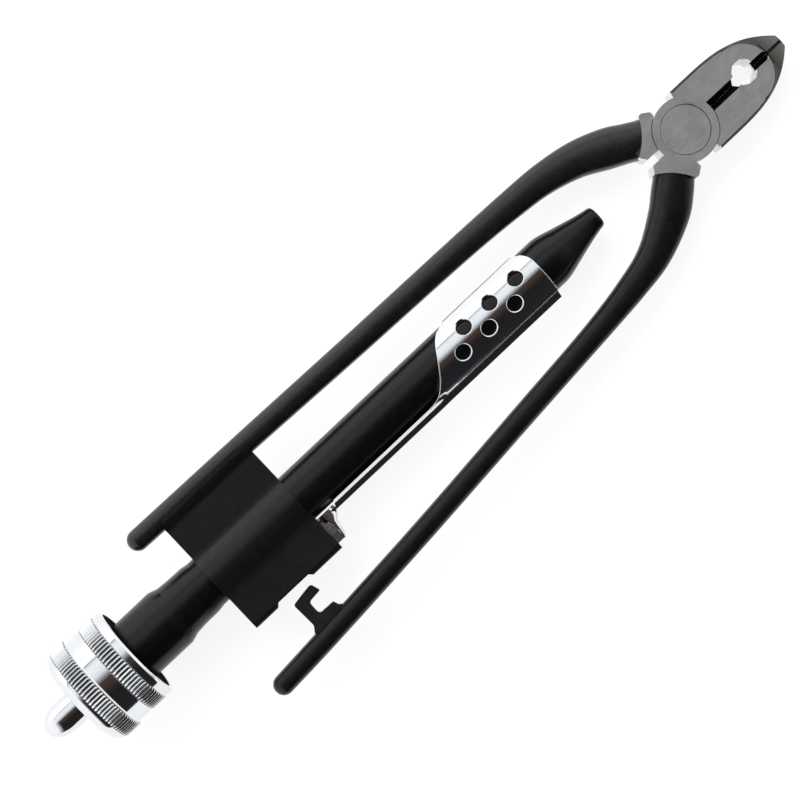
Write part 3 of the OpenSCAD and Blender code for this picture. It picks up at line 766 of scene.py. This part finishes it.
def slide_outline():
    """Strip, S-shaped rear edge and round front corner, as (x, y)."""
    strip = [(SLIDE_X[0], -12), (SLIDE_X[0], STRIP_Y[1]), (STRIP_STEP, STRIP_Y[1]),
             (STRIP_STEP + 0.6, STRIP_Y[0])]
    corner = [(SHIELD_X[1] + SHIELD_CORNER[0] * (math.cos(a) - 1),
               2 + SHIELD_CORNER[1] * math.sin(a))
              for a in [math.radians(90 - 7.5 * i) for i in range(13)]]
    return (rounded(strip, [0, 0, 0, 0.3], closed=False) + curve_through(SHIELD_EDGE)
            + [(corner[0][0], 8)] + corner + [(SHIELD_X[1], -4), (SHIELD_X[1] - 0.6, -12)])


def resampled(line, count):
    """Points spaced evenly in their order along a line."""
    line = [Vector(p) for p in line]
    out = []
    for i in range(count + 1):
        at = i / count * (len(line) - 1)
        k = min(int(at), len(line) - 2)
        out.append(line[k].lerp(line[k + 1], at - k))
    return out


def bead(line, thick):
    """A rounded edge that follows (x, y) points over the sleeve's outer face."""
    path = [Vector((x, y, shield_height(y, SLIDE_R - 0.1))) for x, y in line]
    rings = []
    for i, p in enumerate(path):
        along = (path[min(i + 1, len(path) - 1)] - path[max(i - 1, 0)]).normalized()
        out = Vector((0, p.y - TUBE_Y, p.z)).normalized()
        across = along.cross(out)
        rings.append([p + thick * (out * math.cos(a) + across * math.sin(a))
                      for a in [2 * math.pi * k / 12 for k in range(12)]])
    return skin(rings)


def hole_tool(x, angle):
    """A round hole through the sleeve with a chamfer that follows the sleeve's surface."""
    rings = []
    for r, rise in ((HOLE_R, -2), (HOLE_R, -0.2), (HOLE_R + 0.4, 0.2), (HOLE_R + 0.4, 2)):
        ring = []
        for i in range(64):
            a = 2 * math.pi * i / 64
            turn = angle + math.asin(r * math.sin(a) / SLIDE_R)
            ring.append((x + r * math.cos(a), TUBE_Y + (SLIDE_R + rise) * math.sin(turn),
                         (SLIDE_R + rise) * math.cos(turn)))
        rings.append(ring)
    return skin(rings)


def make_slide():
    """The sleeve with its shield and strip, its rolled edges, the latch tooth and its rib."""
    chrome = "thumb_slide", "chrome", [MATERIALS["chrome"]]
    strip, shield = (STRIP_BEND, RAIL_Y - 0.1, False), (SHIELD_BEND, RAIL_Y, True)
    sleeve = skin([slide_section(SLIDE_X[0] - 1, *strip), slide_section(STRIP_END, *strip),
                   slide_section(SHIELD_X[0], *shield), slide_section(SHIELD_X[1] + 1, *shield)])
    keep(sleeve, prism(slide_outline(), *THROUGH))
    for x, angle in HOLES:
        for i in range(3):
            cut(sleeve, hole_tool(x + i * HOLE_PITCH, math.radians(angle)))
    place(soften(sleeve, 0.15), "slide_sleeve", "slide", *chrome, flat=True)
    middle_x = (SHIELD_EDGE[0][0] + SHIELD_X[1]) / 2
    edge = [p for p in slide_outline()
            if STRIP_Y[0] < p[1] < EDGE_TOP and p[0] > SHIELD_EDGE[0][0]]
    rear = [p for p in edge if p[0] < middle_x]
    front = resampled([p for p in edge if p[0] > middle_x] + [(SHIELD_X[1], -6.3)], 36)
    fold = [(SHIELD_X[1] - 0.1, SHIELD_BEND), (SHIELD_X[0] - 0.5, SHIELD_BEND)]
    for name, line, thick in (("slide_rear_edge", rear, 0.15), ("slide_front_edge", front, 0.15),
                              ("slide_fold", fold, 0.19)):
        place(bead(line, thick), name, "slide", *chrome, sharp=60)

    low, high = LATCH_Y
    outline = [(-131, -7.5), (-131, high), (LATCH_X + 0.3, high), (LATCH_X, high - 0.4),
               (LATCH_X, low), (-124.9, low), (-124.2, low + 0.9), (-123.9, -11.6),
               (-123.5, -9.8), (-122, -9), (-121.9, -7.5)]
    latch = prism(rounded(outline, [0, 0.4, 0.3, 0.2, 0.3, 0.3, 0.5, 1, 1, 0.5, 0]), -1.2, 1.2)
    place(soften(latch, 0.22, segments=3), "slide_latch", "slide", *chrome, flat=True)

    turn = [2 * math.pi * i / 32 for i in range(32)]
    rings = [[((x0 + x1) / 2 + (x1 - x0) / 2 * math.cos(a), y, RIB_HALF * math.sin(a))
              for a in turn] for y, x0, x1 in RIB]
    place(skin(rings), "slide_rib", "slide", *chrome, sharp=50)


make_slide()


# ---- knob and spindle ----

def knurl(x0, x1, r, inner, teeth, depth=0.4):
    """A ring of straight teeth with sloped ends."""
    tooth = (0, 0, 0.35, 0.85, 1, 1, 0.85, 0.35)
    slope = 0.3

    def wave(j, radius):
        return radius - depth * tooth[j % len(tooth)] if radius >= r else radius

    profile = [(x0, inner), (x0, r - depth), (x0 + slope, r), (x1 - slope, r), (x1, r - depth),
               (x1, inner)]
    return lathe(profile, teeth * len(tooth), hollow=True, wave=wave)


def make_knob():
    """Shell, two knurled bands and end plate of the pull knob."""
    end_x = (-194.4, -190.1)
    mouth_x = (-185.6, -181.4)
    smooth = KNOB_R - 0.75
    mouth_r = 9.6
    cap_r = 9.42
    seat_r = 5.3
    bush_r = 3.71
    bush_x = (-193.2, -191.6)
    chrome = "chrome", [MATERIALS["chrome"]]
    rim = end_x[0] - KNOB_X[0], 3.4
    rim_arc = [(KNOB_X[0] + rim[0] * (1 - math.sin(a)), KNOB_R - 0.3 - rim[1] * (1 - math.cos(a)))
               for a in [math.radians(7.5 * i) for i in range(13)]]
    cavity = KNOB_X[1] - 10.6
    outer = [(KNOB_X[1] - 2.6, mouth_r), (KNOB_X[1] - 1, 11.4), (KNOB_X[1], 11.5),
             (KNOB_X[1], smooth - 0.4), (KNOB_X[1] - 0.7, smooth), (mouth_x[1], smooth),
             (mouth_x[1], smooth - 0.4), (mouth_x[0], smooth - 0.4), (mouth_x[0], smooth),
             (end_x[1] + 0.5, smooth), (end_x[1], KNOB_R - 0.35), (end_x[1], KNOB_R - 0.9),
             (end_x[0], KNOB_R - 0.9), (end_x[0], KNOB_R - 0.3)]
    corners = [0, 0.3, 0.2, 0.3, 0.5] + [0.12] * 8 + [0]
    outer = [tuple(p) for p in rounded(outer, corners, 4, False)]
    inner = [(KNOB_X[0], cap_r), (KNOB_X[0] + 1.05, cap_r), (KNOB_X[0] + 1.05, seat_r),
             (bush_x[0], seat_r), (bush_x[0], bush_r), (bush_x[1], bush_r), (bush_x[1], 4.3),
             (cavity, 6.5), (cavity, mouth_r)]
    # the knurls' teeth are chrome and their roots darker chrome, as painted shade
    teeth = [MATERIALS["chrome"], MATERIALS["groove_shade"]]

    def inside(r, x=KNOB_X[0] - 1):
        """Picks the second material nearer to the axis than r and beyond x."""
        return lambda centre, normal: int(math.hypot(centre.y - TUBE_Y, centre.z) < r
                                          and centre.x > x)

    # the knob's inside is painted near-black: painted shade
    place(lathe(outer + rim_arc + inner, 256, hollow=True), "knob_body", "knob", "knob_shell",
          "chrome", [MATERIALS["chrome"], MATERIALS["recess"]], sharp=40,
          paint=inside(11.45, KNOB_X[0] + 3))
    root_shade_depth = 0.27
    mouth_teeth_r = smooth + 0.25
    place(knurl(*end_x, KNOB_R, KNOB_R - 1.6, 88), "knob_end_knurl", "knob", "knob_shell",
          "chrome", teeth, sharp=50, paint=inside(KNOB_R - root_shade_depth))
    place(knurl(*mouth_x, mouth_teeth_r, smooth - 1, 82), "knob_mouth_knurl", "knob",
          "knob_shell", "chrome", teeth, sharp=50, paint=inside(mouth_teeth_r - root_shade_depth))
    hole_r = 4.3
    edge_r = cap_r - 0.07
    cap = [(KNOB_X[0] + 1, hole_r), (KNOB_X[0] + 1, edge_r), (KNOB_X[0], edge_r),
           (KNOB_X[0] - 0.3, 6.4), (KNOB_X[0] - 0.35, hole_r)]
    cap = [tuple(p) for p in rounded(cap, [0.1, 0.05, 0.3, 3, 0.2])]
    place(lathe(cap, 192, hollow=True), "knob_cap", "knob", "knob_end_cap", *chrome)


def make_dome():
    """A nut with a thin flange and a long round end."""
    r = 4.1
    tip = 6.2
    bore = 2.42
    bore_end = -203.3
    flange = DOME_X[1]
    dome = [(DOME_X[0] + tip * (1 - math.sin(a)), r * math.cos(a))
            for a in [math.radians(5 * i) for i in range(19)]]
    profile = [(flange, bore), (flange, 4.8), (flange - 0.1, 4.9), (flange - 1.2, 4.9),
               (flange - 1.3, 4.8), (flange - 1.3, r)] + dome
    profile += [(bore_end, 0), (bore_end, bore)]
    place(lathe(profile, 128, hollow=True), "dome", "spindle", "dome_nut", "chrome",
          [MATERIALS["chrome"]], sharp=40)


def make_spindle():
    """The spiral bar and its two round journals."""
    x0, x1 = -186.2, -76
    width, thick = 5.6, 2.4
    outline = rounded([(-width / 2, -thick / 2), (width / 2, -thick / 2), (width / 2, thick / 2),
                       (-width / 2, thick / 2)], 0.45, 3)
    rings = []
    steps = int((x1 - x0) / LEAD * 90)
    for i in range(steps + 1):
        x = x0 + (x1 - x0) * i / steps
        a = 2 * math.pi * x / LEAD
        rings.append([(x, TUBE_Y + p[0] * math.cos(a) - p[1] * math.sin(a),
                       p[0] * math.sin(a) + p[1] * math.cos(a)) for p in outline])
    place(skin(rings), "spindle_bar", "spindle", "spiral_shaft", "bare_steel",
          [MATERIALS["turned"]], sharp=60)
    front = [(x1 - 1.5, 0), (x1 - 1.5, 1.9), (-51.4, 1.9), (-51, 1.5), (-51, 0)]
    rear = [(-203, 0), (-203, 2.1), (-202.7, 2.4), (x0 + 1.5, 2.4), (x0 + 1.5, 0)]
    for name, profile in (("spindle_front", front), ("spindle_rear", rear)):
        place(lathe(profile, 48), name, "spindle", "spiral_shaft", "bare_steel",
              [MATERIALS["turned"]])


def make_spring():
    """A coil over the length of the return spring."""
    turns = 24
    wire = 0.55
    coil = 4.25
    x0, x1 = ends("return_spring")
    x0, x1 = x0 + wire, x1 - wire
    steps = 28
    rings = []
    ring = [2 * math.pi * k / 10 for k in range(10)]
    for i in range(turns * steps + 1):
        a = 2 * math.pi * i / steps
        x = x0 + (x1 - x0) * i / (turns * steps)
        rings.append([(x + wire * math.sin(b), TUBE_Y + (coil + wire * math.cos(b)) * math.cos(a),
                       (coil + wire * math.cos(b)) * math.sin(a)) for b in ring])
    spring = place(skin(rings), "coil_spring", "rear", "return_spring", "spring_steel",
                   [MATERIALS["spring"]], sharp=60)
    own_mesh(spring)


make_knob()
make_dome()
make_spindle()
make_spring()


# ---- CAD nodes that stay, with their finish ----

def dress(cad_node, material):
    """Gives a CAD node its material and fine rounded edges."""
    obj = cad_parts[cad_node]
    obj.data.materials.clear()
    obj.data.materials.append(MATERIALS[material])
    step = obj.modifiers.new("edges", "BEVEL")
    step.width = 0.08 * MM
    step.segments = 2
    step.limit_method = "ANGLE"
    step.angle_limit = math.radians(40)
    step.harden_normals = True


for inner_part in ("drive_nut", "nut_pins", "spring_seat", "seat_nut", "hub_pin", "leaf_rivet"):
    dress(inner_part, "turned")
for inner_part in ("nut_circlip", "wave_washer", "slide_leaf_spring"):
    dress(inner_part, "spring")
for inner_part in ("clutch_hub", "thrust_washer", "knob_bush"):
    dress(inner_part, "bronze")


# ---- floor, light and camera ----

# the tool lies on the knob's rim and the jaws' lower face
REST_SLOPE = math.atan2(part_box("front_half")[0].z,
                        PIVOT.x + (ARC_X + ARC_R) * MM - middle("knob_shell").x)
UP = Vector((-math.sin(REST_SLOPE), 0, math.cos(REST_SLOPE)))


def make_floor():
    """A large plain floor, tilted so that the tool lies on it."""
    size = 3.0
    grid = bmesh.new()
    bmesh.ops.create_grid(grid, x_segments=8, y_segments=8, size=size)
    mesh = bpy.data.meshes.new("floor")
    grid.to_mesh(mesh)
    grid.free()
    floor = bpy.data.objects.new("floor", mesh)
    bpy.context.scene.collection.objects.link(floor)
    floor.rotation_euler = (0, -REST_SLOPE, 0)
    floor.location = (middle("knob_shell").x, 0, -0.0004)
    mat, shader = new_material("pale_floor", 0.0, 0.7)
    shader.inputs["Base Color"].default_value = (0.25, 0.25, 0.25, 1)
    shader.inputs["Specular IOR Level"].default_value = 0.2
    shader.inputs["Emission Color"].default_value = (1, 1, 1, 1)
    shader.inputs["Emission Strength"].default_value = 0.87
    mesh.materials.append(mat)


def softbox(name, position, size, power):
    """A rectangular light aimed at the frame's origin, not seen in reflections."""
    light = bpy.data.lights.new(name, "AREA")
    light.shape = "RECTANGLE"
    light.size, light.size_y = size
    light.energy = power
    obj = bpy.data.objects.new(name, light)
    bpy.context.scene.collection.objects.link(obj)
    obj.location = position
    obj.rotation_euler = (-Vector(position)).to_track_quat("-Z", "Y").to_euler()
    obj.visible_glossy = False


# the room's tones round the tool's length, from the front handle's side to the rear one's
WORLD_TONES = [(0.0, (0.09, 0.095, 0.1)), (0.02, (0.02, 0.02, 0.022)),
               (0.31, (0.018, 0.017, 0.018)), (0.37, (0.03, 0.024, 0.021)),
               (0.42, (0.056, 0.039, 0.033)), (0.49, (0.072, 0.049, 0.042)),
               (0.507, (0.14, 0.14, 0.145)), (0.545, (0.46, 0.48, 0.5)),
               (0.583, (0.88, 0.92, 0.95)), (0.62, (1.0, 1.04, 1.07)),
               (0.7, (1.1, 1.13, 1.16)), (0.745, (0.98, 1.0, 1.03)),
               (0.775, (0.45, 0.47, 0.5)), (0.79, (1.6, 1.6, 1.6)), (1.0, (1.6, 1.6, 1.6))]


def make_world():
    """A studio that is dark on the front handle's side; only the camera sees it as plain."""
    world = bpy.data.worlds.new("studio")
    bpy.context.scene.world = world
    world.use_nodes = True
    links = world.node_tree.links
    world.node_tree.nodes.clear()

    direction = node(world, "ShaderNodeTexCoord")
    axes = node(world, "ShaderNodeSeparateXYZ")
    links.new(direction.outputs["Generated"], axes.inputs["Vector"])
    angle = node(world, "ShaderNodeMath", operation="ARCTAN2")
    links.new(axes.outputs["Y"], angle.inputs[0])
    links.new(axes.outputs["Z"], angle.inputs[1])
    share = spread(world, angle.outputs[0], 0.0, 1.0, -math.pi / 2, math.pi / 2)
    tones = ramp(world, share, WORLD_TONES)

    lengthwise = node(world, "ShaderNodeMath", operation="ABSOLUTE")
    links.new(axes.outputs["X"], lengthwise.inputs[0])
    past_ends = node(world, "ShaderNodeMapRange", interpolation_type="SMOOTHSTEP",
                     From_Min=0.5, From_Max=0.8)
    links.new(lengthwise.outputs[0], past_ends.inputs["Value"])
    whole = node(world, "ShaderNodeMixRGB", Color2=(1.2, 1.2, 1.2, 1))
    links.new(past_ends.outputs["Result"], whole.inputs["Fac"])
    links.new(tones, whole.inputs["Color1"])

    room = node(world, "ShaderNodeBackground", Strength=1.0)
    links.new(whole.outputs["Color"], room.inputs["Color"])
    plain = node(world, "ShaderNodeBackground", Color=(0.97, 0.97, 0.97, 1), Strength=1.0)
    ray = node(world, "ShaderNodeLightPath")
    mix = node(world, "ShaderNodeMixShader")
    out = node(world, "ShaderNodeOutputWorld")
    links.new(ray.outputs["Is Camera Ray"], mix.inputs[0])
    links.new(room.outputs[0], mix.inputs[1])
    links.new(plain.outputs[0], mix.inputs[2])
    links.new(mix.outputs[0], out.inputs["Surface"])


def make_camera():
    """Looks square on to the surface that the tool lies on, with the tool along the diagonal."""
    distance = 0.6
    field = 0.19
    sensor = 36
    roll = math.radians(43.3)
    target = PIVOT + Vector((-93.2, -0.2, 0)) * MM
    camera = bpy.data.objects.new("camera", bpy.data.cameras.new("camera"))
    bpy.context.scene.collection.objects.link(camera)
    camera.data.sensor_width = sensor
    camera.data.lens = sensor * distance / field
    camera.data.clip_start = 0.01
    camera.data.clip_end = 20
    along = Vector((math.cos(REST_SLOPE), 0, math.sin(REST_SLOPE)))
    across = UP.cross(along)
    right = along * math.cos(roll) - across * math.sin(roll)
    top = along * math.sin(roll) + across * math.cos(roll)
    camera.matrix_world = Matrix.Translation(target + UP * distance) @ Matrix(
        (right, top, UP)).transposed().to_4x4()
    bpy.context.scene.camera = camera


make_floor()
make_world()
softbox("key", (-0.1, 0.9, 0.9), (1.2, 0.8), 9)
make_camera()
bpy.context.scene.view_settings.view_transform = "Standard"
